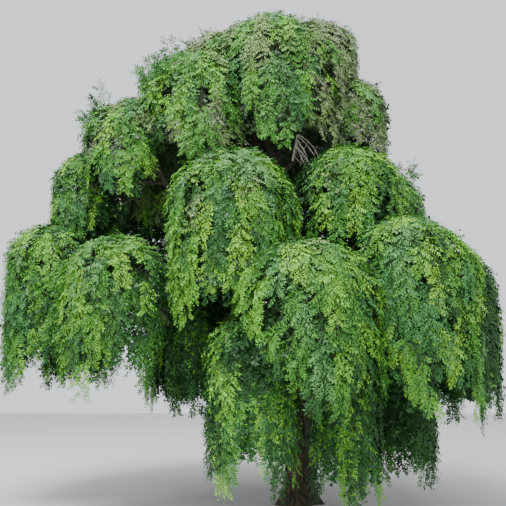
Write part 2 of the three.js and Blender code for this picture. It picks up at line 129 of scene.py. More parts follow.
# Each mass: the middle of its dome, the dome's radius, its top and its hem above the ground,
# the limb that its bough leaves, with the share of that limb's length where it does, and the
# blend of greens that its leaves have. The pale olive blends of the upper masses paint the haze
# of sky flare, and the under and shaded blends paint shade.
Mass = namedtuple("Mass", "name x y radius top hem parent share blend")
MASSES = [
    Mass("top_front", -0.33, -0.4, 1.18, 7.13, 4.7, "trunk", 0.96, "flare_hazy"),
    Mass("top_right", 0.45, 0.4, 0.72, 7.6, 5.7, "top_front", 0.62, "flare_grey"),
    Mass("top_rear", -1.08, 0.75, 0.98, 7.56, 5.1, "top_front", 0.55, "flare_grey"),
    Mass("upper_right", 0.9, -0.08, 0.6, 6.3, 4.85, "top_front", 0.58, "flare_grey"),
    Mass("upper_left", -1.4, -0.55, 0.95, 6.5, 4.5, "left_shoulder", 0.62, "flare_hazy"),
    Mass("left_shoulder", -2.42, -0.3, 0.82, 5.85, 4.1, "trunk", 0.93, "flare_hazy"),
    Mass("left_outer", -3.1, 0.15, 0.68, 5.2, 3.45, "left_shoulder", 0.8, "fresh"),
    Mass("upper_rear_left", -1.88, 1.1, 0.98, 6.1, 3.85, "left_shoulder", 0.5, "flare_hazy"),
    Mass("upper_rear", 0.2, 1.65, 1.06, 6.85, 4.25, "top_front", 0.35, "flare_hazy"),
    Mass("middle_front", -0.9, -1.55, 0.88, 4.6, 2.1, "trunk", 0.9, "fresh"),
    Mass("middle_right", 0.7, -1.0, 0.77, 4.85, 3.2, "trunk", 0.97, "fresh"),
    Mass("middle_far_right", 1.3, -0.3, 0.6, 4.72, 3.1, "middle_right", 0.45, "flare_hazy"),
    Mass("middle_rear_right", 1.4, 1.15, 0.9, 5.0, 2.95, "middle_rear", 0.45, "fresh"),
    Mass("middle_rear", -0.35, 2.15, 1.0, 4.95, 2.7, "trunk", 0.94, "fresh"),
    Mass("middle_rear_left", -2.65, 1.65, 0.9, 4.85, 2.65, "low_left", 0.55, "fresh"),
    Mass("low_left_front", -2.4, -1.15, 0.78, 3.56, 1.45, "low_left", 0.42, "fresh"),
    Mass("low_left", -3.56, -0.25, 0.68, 3.95, 1.5, "trunk", 0.86, "cool"),
    Mass("low_left_rear", -3.3, 1.05, 0.72, 3.7, 1.45, "low_left", 0.72, "cool"),
    Mass("low_rear_left", -1.65, 2.5, 1.0, 3.55, 1.05, "middle_rear", 0.5, "cool"),
    Mass("low_rear_right", 0.65, 2.6, 1.05, 3.55, 0.9, "low_right_rear", 0.3, "cool"),
    Mass("low_right_rear", 2.23, 0.85, 0.8, 3.35, 1.05, "trunk", 0.88, "cool"),
    Mass("low_right", 2.2, -0.4, 0.66, 3.5, 1.1, "low_right_front", 0.55, "shaded"),
    Mass("low_right_front", 1.3, -1.45, 0.95, 3.75, 1.05, "trunk", 0.83, "cool"),
    Mass("low_front", -0.01, -2.05, 0.92, 3.3, 1.2, "trunk", 0.79, "fresh"),
    Mass("front_left_curtain", -0.64, -1.92, 0.55, 2.45, 0.4, "low_front", 0.4, "under"),
    Mass("front_right_curtain", 0.48, -1.35, 0.46, 2.0, 0.18, "low_front", 0.5, "under"),
    Mass("right_curtain", 1.33, -0.42, 0.56, 2.15, 0.33, "low_right_front", 0.35, "shaded"),
    Mass("inner_left_curtain", -1.4, -0.48, 0.43, 2.85, 1.2, "middle_front", 0.3, "shaded"),
]
SEEDS = {m.name: k + 1 for k, m in enumerate(MASSES)}

# The dead, bare twigs that hang from one bough, in the gap under the topmost masses.
BARE_LIMB = "upper_right"
BARE_PLACE = 0.3
BARE_TWIGS = 9
BARE_DROP = 0.46
BARE_LEAST_DROP = 0.6
BARE_SPREAD = 0.17
BARE_LEAST_SPREAD = 0.35
BARE_TURN_SWING = 0.5
BARE_LEAST_ARCH = 1.1
BARE_MOST_ARCH = 2.6
BARE_DRIFT = 1.1
BARE_FALL = 1.25
BARE_RADIUS = 0.009
BARE_LEAN = np.array([0.17, -0.06])
BARE_STEM = np.array([0.06, -0.36, 0.32])
BARE_STEM_RADII = [0.016, 0.013]
BARE_FORK = 0.55
BARE_SPREAD_DRAW = 20
BARE_DROP_DRAW = 40
BARE_ARCH_DRAW = 60
BARE_DRIFT_DRAW = 80
BARE_STEPS = 9
BARE_SIDES = 6
BARE_STEM_SIDES = 8
BARE_STEM_TAPER = 0.8
BARE_TAPER = 0.3
BARE_FORKS = 3
FIRST_FORK = 3
FORK_TURN = 2
FORK_SAG = -0.9
FORK_REACH = 0.28
FORK_SHORTENING = 0.05
FORK_DROOP = np.array([0, 0, -0.04])
FORK_RADII = [0.004, 0.003, 0.0015]
FORK_SIDES = 4

# The bark: its furrows run up the limb, wander, and part and join again.
TRUNK_COLUMNS = 144
TRUNK_ROWS = 84
HEAD_ROWS = 12
FURROWS_ROUND = 25
FURROW_DEPTH = 0.013
FURROW_WANDER = 1.3
FURROW_RISE = 3.2
FINE_WANDER = 0.4
FINE_ROUND = 2
FINE_RISE = 3
RIDGE_POWER = 0.55
PLATE_DEPTH = 0.004
PLATES_ROUND = 34
PLATES_A_METRE = 26
SMALLEST_RING = 0.001
BOUGH_COLUMNS = 12
BOUGH_ROWS_A_METRE = 15
BOUGH_RELIEF = 0.07
LUMPS_ROUND = 4
LUMPS_A_METRE = 6
RIDGES_ROUND = 7
RIDGES_A_METRE = 4
COLLAR_SWELL = 0.28
COLLAR_LENGTH = 0.12

# Seeds of the noise: the trunk's three, the step from a bough's own seed to that of its ridges,
# and the step from each column of cells to the next.
WANDER_SEED = 3
FINE_SEED = 7
PLATES_SEED = 11
RIDGES_SEED_STEP = 5
COLUMN_SEED_STEP = 0.37

# Sprays: a side twig with a shoot that comes out of the dome and hangs down over it. The outer
# layer's leaves are near life size. The shaded leaves inside stand for several each, and their
# dark greens are painted shade. A layer has its sprays a square metre, the share of the dome's
# radius at which its shoots start, the least and the most at which they hang, the level of its
# lowest tips, the step between its leaves and their length, and how far its shoots mingle with
# those of neighbouring masses.
Layer = namedtuple("Layer", "density root low high lowest leaf_step leaf_length mingling")
OUTER = Layer(18, 0.84, 0.9, 1.0, 1.0, 0.031, 0.175, 0.15)
INNER = Layer(8, 0.7, 0.67, 0.86, 0.88, 0.042, 0.27, 0.5)

# So that little sky shows through the crown, some masses have shaded shoots on their inner side
# too, and some have more shaded shoots than the rest, by the factor here.
CLOSED_INSIDE = ["upper_rear", "upper_right", "middle_right", "middle_rear_right"]
FULLER_INSIDE = {
    "upper_rear": 1.4,
    "middle_right": 1.3,
    "low_left_rear": 1.6,
    "low_rear_left": 2.4,
    "low_right_rear": 1.6,
}

# How the sprays of a mass are spread over it. The dome is a little flatter than half a ball.
DOME_FLATNESS = 0.9
HIGHEST_ROOT = -0.25
THINNED_FROM = 0.3
INWARD_SHARE = 0.5
CURTAIN_FULLNESS = 1.7
EVEN_STEPS = np.array([0.8191725134, 0.6710436067, 0.5497004779])
SHORTEST_SHOOT = 0.55
LONGEST_SHOOT = 1.05
SHOOT_SWING = 0.35
WIDEST_SWING = 0.6
SWING_POWER = 1.5
LEAST_REACH = 0.05
OUT_BY = 0.55
HEM_CROWDING = 1.12
HEM_MARGIN = 0.04
HEM_SCATTER = 0.03
RAGGED_HEM = 0.13
HEM_TUFTS = 13
SHOOT_POINTS = 5
SHOOT_SIDES = 3
SHOOT_RADIUS = 0.0032
SHOOT_TAPER = 0.4
SIDE_TWIG_RADIUS = 0.006
SIDE_TWIG_RUN = 0.1
LEAST_SHOOT = 0.18
TRUNK_CLEARANCE = 0.07

# Young shoots that stand up out of some domes on the crown's slopes: how many each mass here has,
# the levels on its dome between which they stand, and the tallest of them.
FEATHERS = {
    "upper_left": (16, 0.29, 0.44, 0.36),
    "left_shoulder": (12, 0.16, 0.38, 0.42),
    "top_rear": (14, 0.07, 0.22, 0.32),
    "middle_far_right": (5, 0.1, 0.36, 0.32),
}
FEATHER_LEAF_STEP = 0.022
FEATHER_LEAF_LENGTH = 0.17
FEATHER_KINDS = ["deep", "mid", "cool"]
FEATHER_TURNS = (-0.7, 0.7)
FEATHER_SINK = 0.9
FEATHER_RISE = np.array([0, 0, 1.15])
FEATHER_NOD = -0.4
FEATHER_LEANS = (0.3, 0.7)
SHORTEST_FEATHER = 0.16

# A pinnate leaf: leaflets in pairs along a stalk, and one at its end. Each kind of leaf has where
# its pairs sit, and how long and wide a leaflet is, as shares of the leaf's length.
LeafForm = namedtuple("LeafForm", "places length width")
FINE = LeafForm([0.2, 0.36, 0.52, 0.68, 0.84], 0.31, 0.105)
BROAD = LeafForm([0.24, 0.44, 0.64, 0.84], 0.33, 0.175)
LEAFLET_ANGLES = (48, 72)
LEAFLET_STRAY = 8
LEAFLET_DROOP = (5, 35)
LEAFLET_ROLL = 35
LEAFLET_WIDEST = (0.36, 0.56)
LEAFLET_SIZES = (0.85, 1.12)
LONGEST_AT = 0.55
OTHERS_SHORTER = 0.25
STALK_WIDTH = 0.012
STALK_LENGTH = 0.88
LEAF_PATTERNS = 16
PATTERN_SEED = 99
MOST_FACES_A_PIECE = 190000

# How the leaves stand on a shoot: spread to both sides of it, lifted off the dome, pointed
# forward and drooping, with their upper sides outward and up. The last ones are smaller.
LEAFLESS_SHARE = 0.15
DOME_CENTRE_DEPTH = 1.4
LEAST_OUTWARD_LIFT = 0.15
LEAF_SPREAD = (0.45, 1.0)
LEAF_LIFT = (-0.1, 0.55)
LEAF_FORWARD = (0.2, 0.9)
LEAF_DROOP = (0.15, 0.65)
LEAF_FACE_UP = np.array([0, 0, 0.55])
LEAF_TUMBLE = 0.35
LEAF_SIZES = (0.82, 1.15)
LAST_SMALLER = 0.3

# The greens, as plain base colours, and how each blend of them is dealt out by spray. Some paint
# light: the light bluish green dealt out on dome tops is a painted sky reflection, the two pale
# olive greens of the upper masses are painted haze of sky flare, lime and bright are partly their
# own colour and partly painted highlights, and the last two greens, for the shaded leaves inside,
# are painted shade, the second lighter under that painted haze.
LEAF_COLOURS = {
    "lime": (0.2, 0.46, 0.04),
    "bright": (0.14, 0.385, 0.034),
    "mid": (0.072, 0.25, 0.028),
    "sky_sheen": (0.095, 0.265, 0.07),
    "cool": (0.05, 0.19, 0.045),
    "deep": (0.03, 0.125, 0.022),
    "flare_hazy": (0.155, 0.255, 0.074),
    "flare_grey": (0.175, 0.226, 0.106),
    "shade": (0.014, 0.062, 0.012),
    "hazed_shade": (0.055, 0.105, 0.042),
}
SHADED_KINDS = ["shade", "hazed_shade"]
SHADE_OF_BLEND = {"flare_grey": "hazed_shade", "flare_hazy": "hazed_shade"}
LEAF_SLOTS = {
    "lime": "foliage_bright",
    "bright": "foliage_bright",
    "mid": "foliage_mid",
    "sky_sheen": "foliage_mid",
    "cool": "foliage_mid",
    "deep": "foliage_deep",
    "flare_hazy": "foliage_olive",
    "flare_grey": "foliage_olive",
    "shade": "foliage_deep",
    "hazed_shade": "foliage_deep",
}
KINDS = list(LEAF_COLOURS)

# Shares of the greens in KINDS, and what changes them on a dome's top, at its hem and on the side
# that faces the crown's own middle, each with the levels between which it comes or goes. On top,
# more of the bluish greens paint a sky reflection; on the inner side, more of the dark greens paint
# shade. The under and shaded blends, and the shade share of any blend, are painted shade too.
BLENDS = {
    "flare_grey": [0, 0.8, 1.4, 1.2, 0, 0, 8, 13, 0, 0],
    "flare_hazy": [1, 5, 7, 2, 3, 3, 7, 2, 0, 0],
    "fresh": [4, 8, 7, 2, 2, 3, 1, 0, 0, 0],
    "cool": [3, 8, 7, 2, 5, 4, 0, 0, 2, 0],
    "under": [2, 4, 4, 0, 3, 7, 0, 0, 7, 0],
    "shaded": [0.4, 1.5, 2, 0, 1, 4, 0, 0, 16, 0],
}
TOP_SHEEN = np.array([0.1, 0.3, 0.9, 4, 1.6, 0.8, 1, 1.3, 1, 1])
AT_HEM = np.array([1.3, 1, 1, 0.2, 1.3, 1.8, 0.8, 0.8, 1, 1])
INWARD_SHADE = np.array([0, 0.05, 0.3, 0, 1, 4, 0, 0, 1, 1])
TOP_LEVELS = (0.1, 0.42)
HEM_LEVELS = (0.6, 0.95)
INWARD_LEVELS = (0.15, 0.4)
INWARD_TURN = (-0.1, 0.6)

# The front one of the topmost masses takes more of the painted haze of sky flare on its right
# side, between these places along X.
HAZED_MASS = "top_front"
HAZE_FROM = 0.1
HAZE_FULL = 0.55


def chance(seed, draw):
    """A number from 0 to 1 that depends only on its two numbers."""
    wave = np.sin(seed * 12.9898 + draw * 78.233) * 43758.5453
    return wave - np.floor(wave)


def smoothstep(value, low, high):
    share = np.clip((value - low) / (high - low), 0, 1)
    return share * share * (3 - 2 * share)


def lerp(a, b, share):
    return a + (b - a) * share


def unit(v):
    return v / np.maximum(np.linalg.norm(v, axis=-1, keepdims=True), 1e-9)


def noise(x, y, seed, period):
    """Smooth noise from 0 to 1 over whole cells. It repeats in x after a whole number of them."""
    cell_x, cell_y = np.floor(x), np.floor(y)
    share_x, share_y = smoothstep(x - cell_x, 0, 1), smoothstep(y - cell_y, 0, 1)

    def corner(right, up):
        column = (cell_x + right) % period
        return chance(seed + COLUMN_SEED_STEP * column, cell_y + up)

    low = lerp(corner(0, 0), corner(1, 0), share_x)
    high = lerp(corner(0, 1), corner(1, 1), share_x)
    return lerp(low, high, share_y)


class Mesh:
    """Points and faces with the same number of corners each, gathered for one piece."""

    def __init__(self, corners=4):
        self.corners = corners
        self.points = []
        self.faces = []
        self.count = 0

    def add(self, points, faces):
        self.points.append(points.reshape(-1, 3))
        self.faces.append(faces.reshape(-1, self.corners) + self.count)
        self.count += len(self.points[-1])

    def piece(self, name, material, slot, replaced=(), smooth=False):
        points = np.concatenate(self.points).astype(np.float32)
        faces = np.concatenate(self.faces).astype(np.int32)
        mesh = bpy.data.meshes.new(name)
        mesh.vertices.add(len(points))
        mesh.vertices.foreach_set("co", points.ravel())
        mesh.loops.add(faces.size)
        mesh.loops.foreach_set("vertex_index", faces.ravel())
        mesh.polygons.add(len(faces))
        mesh.polygons.foreach_set("loop_start", np.arange(0, faces.size, self.corners, dtype=np.int32))
        mesh.polygons.foreach_set("use_smooth", np.full(len(faces), smooth))
        mesh.update()
        mesh.validate()
        mesh.materials.append(material)
        piece = bpy.data.objects.new(name, mesh)
        bpy.context.scene.collection.objects.link(piece)
        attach(piece, "root")
        if replaced:
            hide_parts(*replaced)


def grid_faces(rows, columns):
    """The faces of a tube: rings of points, each joined to the next."""
    row, column = np.meshgrid(np.arange(rows - 1), np.arange(columns), indexing="ij")
    here, beside = row * columns + column, row * columns + (column + 1) % columns
    return np.stack([here, beside, beside + columns, here + columns], axis=-1)


def tube_rings(line, radii, sides):
    """Rings of points round a line. radii is one for each point, or one for each corner too."""
    along = unit(np.gradient(line, axis=0))
    rings = np.zeros((len(line), sides, 3))
    turns = 2 * np.pi * np.arange(sides) / sides
    radii = np.broadcast_to(np.asarray(radii).reshape(len(line), -1), (len(line), sides))
    side = ANY_SIDE
    for k, forward in enumerate(along):
        side = unit(side - forward * side.dot(forward))
        across = np.cross(forward, side)
        spokes = np.outer(np.cos(turns), side) + np.outer(np.sin(turns), across)
        rings[k] = line[k] + spokes * radii[k][:, None]
    return rings


def add_tube(mesh, line, radii, sides):
    mesh.add(tube_rings(line, radii, sides), grid_faces(len(line), sides))


def smooth_line(line, places):
    """A smooth curve through a line's points, at places counted in its segments."""
    padded = np.concatenate([[2 * line[0] - line[1]], line, [2 * line[-1] - line[-2]]])
    low = np.clip(np.floor(places).astype(int), 0, len(line) - 2)
    t = (places - low)[:, None]
    a, b, c, d = (padded[low + k] for k in range(4))
    return 0.5 * (2 * b + (c - a) * t + (2 * a - 5 * b + 4 * c - d) * t**2
                  + (3 * b - a - 3 * c + d) * t**3)


# The trunk's middle at a share of its height, and its radius there in one direction.
def trunk_middle(share):
    share = np.asarray(share, dtype=float)
    return np.stack([
        TRUNK_LEAN[0] * share * share + TRUNK_BEND * np.sin(share * np.pi),
        TRUNK_LEAN[1] * share,
        TRUNK_HEIGHT * share,
    ], axis=-1)


def trunk_radius(share, turn):
    taper = lerp(TRUNK_RADIUS, TRUNK_TOP_RADIUS, share)
    head = HEAD_SWELL * smoothstep(share, HEAD_START, 1)
    flare = FLARE_REACH * np.exp(-share * TRUNK_HEIGHT / FLARE_HEIGHT)
    root = np.cos(FLARE_ROOTS * turn + ROOT_TURN)
    return taper + head + RIB_DEPTH * root + flare * (1 + ROOT_DEPTH * root)


def cap_height(m):
    return min(CAP_RISE * m.radius, CAP_LIMIT * (m.top - m.hem))


def outward_of(m):
    return unit(np.array([m.x, m.y]) - CROWN_MIDDLE)


def outward_turn(m):
    x, y = outward_of(m)
    return math.atan2(y, x)


def stem_of(m):
    """Where a mass's stem starts, which way it points and how long it is."""
    outward = np.append(outward_of(m), 0)
    direction = unit(np.array([0, 0, 1]) + STEM_LEAN * outward)
    rise = cap_height(m) * (STEM_FOOT - 1 + TWIG_SINK)
    foot = np.array([m.x, m.y, m.top - STEM_FOOT * cap_height(m)]) - STEM_LEAN * rise * outward
    return foot, direction, rise / direction[2]


# Every bough's line of points and their radii, by the name of the mass that it carries.
limbs = {}


def place_on(limb, share):
    """A limb's middle, direction and radius at a share of its length."""
    line, radii = limbs[limb]
    place = share * (len(line) - 1)
    low = int(place)
    return (
        lerp(line[low], line[low + 1], place - low),
        unit(line[low + 1] - line[low]),
        lerp(radii[low], radii[low + 1], place - low),
    )


def spaced_curve(corners):
    """A cubic curve from four corners, in even steps along its length."""
    def at(t):
        t = np.asarray(t)[:, None]
        weights = ((1 - t)**3, 3 * t * (1 - t)**2, 3 * t * t * (1 - t), t**3)
        return sum(weight * corner for weight, corner in zip(weights, corners))

    finely = np.linspace(0, 1, CURVE_SAMPLES)
    run = np.append(0, np.cumsum(np.linalg.norm(np.diff(at(finely), axis=0), axis=1)))
    steps = max(FEWEST_STEPS, round(run[-1] / BOUGH_STEP))
    places = np.interp(np.linspace(0, run[-1], steps + 1), run, finely)
    return at(places), run[-1] / steps


def grow_bough(m):
    """A bough arches up from inside its parent and ends at the foot of its mass's stem."""
    seed = SEEDS[m.name]
    foot, direction, _ = stem_of(m)
    if m.parent == "trunk":
        start = trunk_middle(m.share)
        most = THICKEST_BOUGH
        lean = np.append(LEAVE_OUTWARD * outward_of(m), LEAVE_UPWARD)
    else:
        start, along, radius = place_on(m.parent, m.share)
        most = SHARE_OF_PARENT * radius
        lean = LEAVE_ALONG * along
    reach = np.linalg.norm(foot - start)
    leave = unit(unit(foot - start) + lean)
    line, step = spaced_curve([
        start, start + leave * reach * FOOT_PULL, foot - direction * reach * TIP_PULL, foot])
    last = len(line) - 1
    for k in range(last + 1):
        crook = BOUGH_CROOK * reach * math.sin(k / last * math.pi)
        line[k] += [crook * (chance(seed, k + draw) - 0.5) for draw in CROOK_DRAWS]
    line[-2] = foot - direction * step
    wanted = (BOUGH_TIP_RADIUS + BOUGH_THICKENING * np.linalg.norm(line[-1] - line[0])
              + LOAD_THICKENING * m.radius)
    thick = min(wanted, most, THICKEST_BOUGH)
    thin = min(BOUGH_TIP_RADIUS, thick * TIP_OF_FOOT)
    limbs[m.name] = line, lerp(thick, thin, (np.arange(last + 1) / last)**TAPER_POWER)


def grow_boughs():
    """Every parent is grown before its children."""
    while len(limbs) < len(MASSES):
        for m in MASSES:
            if m.name not in limbs and (m.parent == "trunk" or m.parent in limbs):
                grow_bough(m)


# The outer surface of a mass. s runs from 0 at the top over the dome's edge to 1 at the hem.
def lobe_turn(m, lobe):
    return 2 * np.pi * (lobe + chance(SEEDS[m.name], 1)) / TWIGS


def hem_height(m, turn, openness=1):
    inward = math.atan2(CROWN_MIDDLE[1] - m.y, CROWN_MIDDLE[0] - m.x)
    opened = openness * smoothstep(0.5 + 0.5 * np.cos(turn - inward), OPEN_FROM, OPEN_TO)
    wave = np.cos(HEM_WAVES * (turn - lobe_turn(m, 0)))
    full = m.hem + HEM_WAVE_DEPTH * (m.top - m.hem) * (1 - wave)
    return lerp(full, m.top - cap_height(m) - OPEN_DROP, opened)


def dome_point(m, turn, s, swell=1.0, openness=1):
    valley = 0.5 - 0.5 * np.cos(TWIGS * (turn - lobe_turn(m, 0)))
    edge = m.radius * (1 - LOBE_DEPTH * valley)
    cap = cap_height(m)
    arch = np.minimum(s / CAP_SHARE, 1) * (np.pi / 2)
    fall = np.maximum(0, (s - CAP_SHARE) / (1 - CAP_SHARE))
    out = edge * np.sin(arch) * (1 - CURTAIN_TUCK * fall * fall) * swell
    hem = hem_height(m, turn, openness)
    z = m.top - cap + cap * np.cos(arch) * swell - fall * (m.top - cap - hem)
    return np.stack([m.x + out * np.cos(turn), m.y + out * np.sin(turn), z], axis=-1)


# The flat borders between a mass and its neighbours: each keeps to its own side.
def middle_of(m):
    return np.array([m.x, m.y, m.top - cap_height(m)])


def reach_along(m, direction):
    level = np.linalg.norm(direction[:2])
    height = cap_height(m) if direction[2] > 0 else m.top - cap_height(m) - m.hem
    return math.hypot(m.radius * level, height * direction[2])


def borders_of(m, mingling):
    here = middle_of(m)
    normals, limits = [], []
    for other in MASSES:
        if other is m:
            continue
        gap = middle_of(other) - here
        distance = np.linalg.norm(gap)
        away = gap / distance
        mine, theirs = reach_along(m, away), reach_along(other, -away)
        normals.append(away)
        limits.append(away.dot(here) + distance * mine / (mine + theirs) + mingling)
    return np.array(normals), np.array(limits)


def keeps_inside(m, borders, points):
    """Whether points are in the mass's own space, above its hem and clear of the trunk."""
    normals, limits = borders
    own = np.all(points @ normals.T < limits, axis=-1)
    high = points[..., 2] > m.hem - LOWEST_REACH
    share = np.clip(points[..., 2] / TRUNK_HEIGHT, 0, 1)
    away = points - trunk_middle(share)
    level = np.hypot(away[..., 0], away[..., 1])
    turn = np.arctan2(away[..., 1], away[..., 0])
    clear = (level > trunk_radius(share, turn) + TRUNK_CLEARANCE) | (away[..., 2] > HEAD_DEPTH)
    return own & high & clear


# The bark of the trunk, from its cut at the ground to the closed top of its head.
def furrows(around, height):
    """The bark's surface: 1 on the ridges and 0 in the furrows between them."""
    column = around * FURROWS_ROUND
    row = height * FURROW_RISE
    wander = noise(column, row, WANDER_SEED, FURROWS_ROUND)
    fine = noise(column * FINE_ROUND, row * FINE_RISE, FINE_SEED, FURROWS_ROUND * FINE_ROUND)
    strayed = FURROW_WANDER * (wander - 0.5) + FINE_WANDER * (fine - 0.5)
    return np.abs(np.sin(np.pi * (column + strayed)))**RIDGE_POWER


def trunk_mesh(mesh):
    turn = 2 * np.pi * np.arange(TRUNK_COLUMNS) / TRUNK_COLUMNS
    shares = np.linspace(0, 1, TRUNK_ROWS)[:, None]
    spokes = np.stack([np.cos(turn), np.sin(turn), np.zeros_like(turn)], axis=-1)
    height = shares * TRUNK_HEIGHT
    around = turn / (2 * np.pi) + 0 * height
    plates = noise(around * PLATES_ROUND, height * PLATES_A_METRE, PLATES_SEED, PLATES_ROUND)
    relief = FURROW_DEPTH * (furrows(around, height) - 1) - PLATE_DEPTH * plates
    radius = trunk_radius(shares, turn) + relief
    rings = trunk_middle(shares[:, 0])[:, None, :] + spokes * radius[..., None]
    lifts = np.linspace(0, 1, HEAD_ROWS)[1:, None]
    shrink = lerp(SMALLEST_RING, 1, np.sqrt(np.maximum(1 - lifts**2, 0)))
    head = trunk_middle(1.0) + spokes * (radius[-1] * shrink)[..., None]
    head[..., 2] += HEAD_DEPTH * lifts
    mesh.add(np.concatenate([rings, head]), grid_faces(TRUNK_ROWS + HEAD_ROWS - 1, TRUNK_COLUMNS))


def bough_mesh(mesh, m):
    """A bough runs on without a break into the stem of the mass that it carries."""
    line, radii = limbs[m.name]
    foot, direction, length = stem_of(m)
    line = np.concatenate([line, [foot + direction * length]])
    radii = np.append(radii, STEM_TIP_RADIUS)
    run = np.append(0, np.cumsum(np.linalg.norm(np.diff(line, axis=0), axis=1)))
    rows = int(run[-1] * BOUGH_ROWS_A_METRE) + 2
    distance = np.linspace(0, run[-1], rows)
    places = np.interp(distance, run, np.arange(len(line)))
    middle = smooth_line(line, places)
    radius = np.interp(places, np.arange(len(line)), radii)
    radius = radius * (1 + COLLAR_SWELL * np.exp(-distance / COLLAR_LENGTH))
    turn = 2 * np.pi * np.arange(BOUGH_COLUMNS) / BOUGH_COLUMNS
    seed = SEEDS[m.name]
    along = distance[:, None]
    around = turn / (2 * np.pi) + 0 * along
    lumps = noise(around * LUMPS_ROUND, along * LUMPS_A_METRE, seed, LUMPS_ROUND)
    ridge_seed = seed + RIDGES_SEED_STEP
    ridges = noise(around * RIDGES_ROUND, along * RIDGES_A_METRE, ridge_seed, RIDGES_ROUND)
    relief = 1 + BOUGH_RELIEF * (lumps + 2 * ridges - 1.5)
    add_tube(mesh, middle, radius[:, None] * relief, BOUGH_COLUMNS)


# The main twigs of a mass leave its stem and arch over its dome, each under one lobe.
def main_twig(mesh, m, borders, twig):
    foot, direction, length = stem_of(m)
    turn = lobe_turn(m, twig + TWIG_SWING * (chance(SEEDS[m.name], twig + TWIG_DRAW) - 0.5))
    over = dome_point(m, turn, TWIG_LEVELS, TWIG_SINK)
    kept = np.cumprod(keeps_inside(m, borders, over)).astype(bool)
    start = foot + direction * length * (LOWEST_TWIG_FOOT + TWIG_FOOT_STEP * twig)
    line = np.concatenate([[start], over[kept]])
    if len(line) < 3:
        return
    places = np.linspace(0, len(line) - 1, 2 * len(line))
    radii = lerp(TWIG_RADIUS, TWIG_RADIUS * TWIG_TAPER, places / places[-1])
    add_tube(mesh, smooth_line(line, places), radii, TWIG_SIDES)


def surface_of(m):
    """The area of a mass's dome and of the curtain below it, and the way from top to hem."""
    springing = m.top - cap_height(m)
    dome = 2 * np.pi * m.radius**2 * DOME_FLATNESS
    curtain = 2 * np.pi * m.radius * (springing - m.hem)
    return dome, curtain, m.radius * np.pi / 2 + springing - m.hem


def openness_of(m, layer):
    """How far a layer of a mass leaves the side open that faces the crown's middle: 0 or 1."""
    return 0 if layer is INNER and m.name in CLOSED_INSIDE else 1


def even_places(m, layer, random):
    """Directions and levels spread evenly over the area of a mass's dome and curtain."""
    dome, curtain, _ = surface_of(m)
    fullness = CURTAIN_FULLNESS if m.name.endswith("curtain") else 1
    if layer is INNER:
        fullness *= FULLER_INSIDE.get(m.name, 1)
    count = round(layer.density * (dome + curtain) * fullness)
    spread = (np.arange(count)[:, None] * EVEN_STEPS + random.random(3)) % 1
    turn = 2 * np.pi * spread[:, 0]
    level = spread[:, 1] * (dome + curtain * HEM_CROWDING)
    over = np.arccos(np.clip(1 - level / dome, 0, 1)) / (np.pi / 2) * CAP_SHARE
    below = CAP_SHARE + (1 - CAP_SHARE) * (level - dome) / curtain
    ragged = RAGGED_HEM * noise(spread[:, 0] * HEM_TUFTS, 0.5, SEEDS[m.name], HEM_TUFTS)
    lowest = layer.lowest + HEM_MARGIN - ragged + HEM_SCATTER * random.uniform(-1, 1, count)
    tip = np.where(level < dome, over, np.minimum(below, lowest))
    springing = m.top - cap_height(m)
    drop = (springing - hem_height(m, turn, openness_of(m, layer))) / (springing - m.hem)
    kept = (level < dome) | (spread[:, 2] < drop)
    return turn[kept], tip[kept]


def add_shoot(shoots, line):
    radii = lerp(SHOOT_RADIUS, SHOOT_RADIUS * SHOOT_TAPER, np.linspace(0, 1, len(line)))
    add_tube(shoots, line, radii, SHOOT_SIDES)


def spray(m, layer, borders, turn, tip, random, twigs, shoots):
    """A shoot, with a side twig in the outer layer. Returns the shoot's line, or None."""
    _, _, way = surface_of(m)
    root = max(tip - random.uniform(SHORTEST_SHOOT, LONGEST_SHOOT) / way, HIGHEST_ROOT)
    out = max(m.radius * math.sin(min(tip / CAP_SHARE, 1) * np.pi / 2), LEAST_REACH)
    swing = np.clip(SHOOT_SWING * (random.random() - 0.5) / out, -WIDEST_SWING, WIDEST_SWING)
    proud = random.uniform(layer.low, layer.high)
    share = np.linspace(0, 1, SHOOT_POINTS)
    swell = lerp(layer.root, proud, smoothstep(share, 0, OUT_BY))
    turns = turn - swing * (1 - share)**SWING_POWER
    line = dome_point(m, turns, lerp(root, tip, share), swell, openness_of(m, layer))
    inside = np.flatnonzero(keeps_inside(m, borders, line))
    if len(inside) < 2:
        return None
    line = line[:inside[-1] + 1]
    if len(line) < 3 or np.linalg.norm(line[-1] - line[0]) < LEAST_SHOOT:
        return None
    if layer is INNER:
        add_shoot(shoots, line[[0, len(line) // 2, -1]])
        return line
    add_shoot(shoots, line)
    lobe = round((turn * TWIGS / (2 * np.pi)) - chance(SEEDS[m.name], 1))
    from_turns = np.array([lobe_turn(m, lobe), turn - swing])
    from_levels = np.array([max(root - SIDE_TWIG_RUN, 0), root])
    from_twig = dome_point(m, from_turns, from_levels, layer.root)
    add_tube(twigs, from_twig, [SIDE_TWIG_RADIUS, SHOOT_RADIUS], SHOOT_SIDES)
    return line


def feathers(m, shoots, random):
    """Young shoots that still stand up out of a dome. Returns each one's line of points."""
    count, low, high, tallest = FEATHERS.get(m.name, (0, 0, 0, 0))
    lines = []
    for _ in range(count):
        turn = outward_turn(m) + random.uniform(*FEATHER_TURNS)
        foot = dome_point(m, turn, random.uniform(low, high), FEATHER_SINK)
        away = np.array([math.cos(turn), math.sin(turn), FEATHER_NOD]) * random.uniform(*FEATHER_LEANS)
        share = np.linspace(0, 1, SHOOT_POINTS)[:, None]
        height = random.uniform(SHORTEST_FEATHER, tallest)
        line = foot + height * (share * FEATHER_RISE + share**2 * away)
        add_shoot(shoots, line)
        lines.append(line)
    return lines


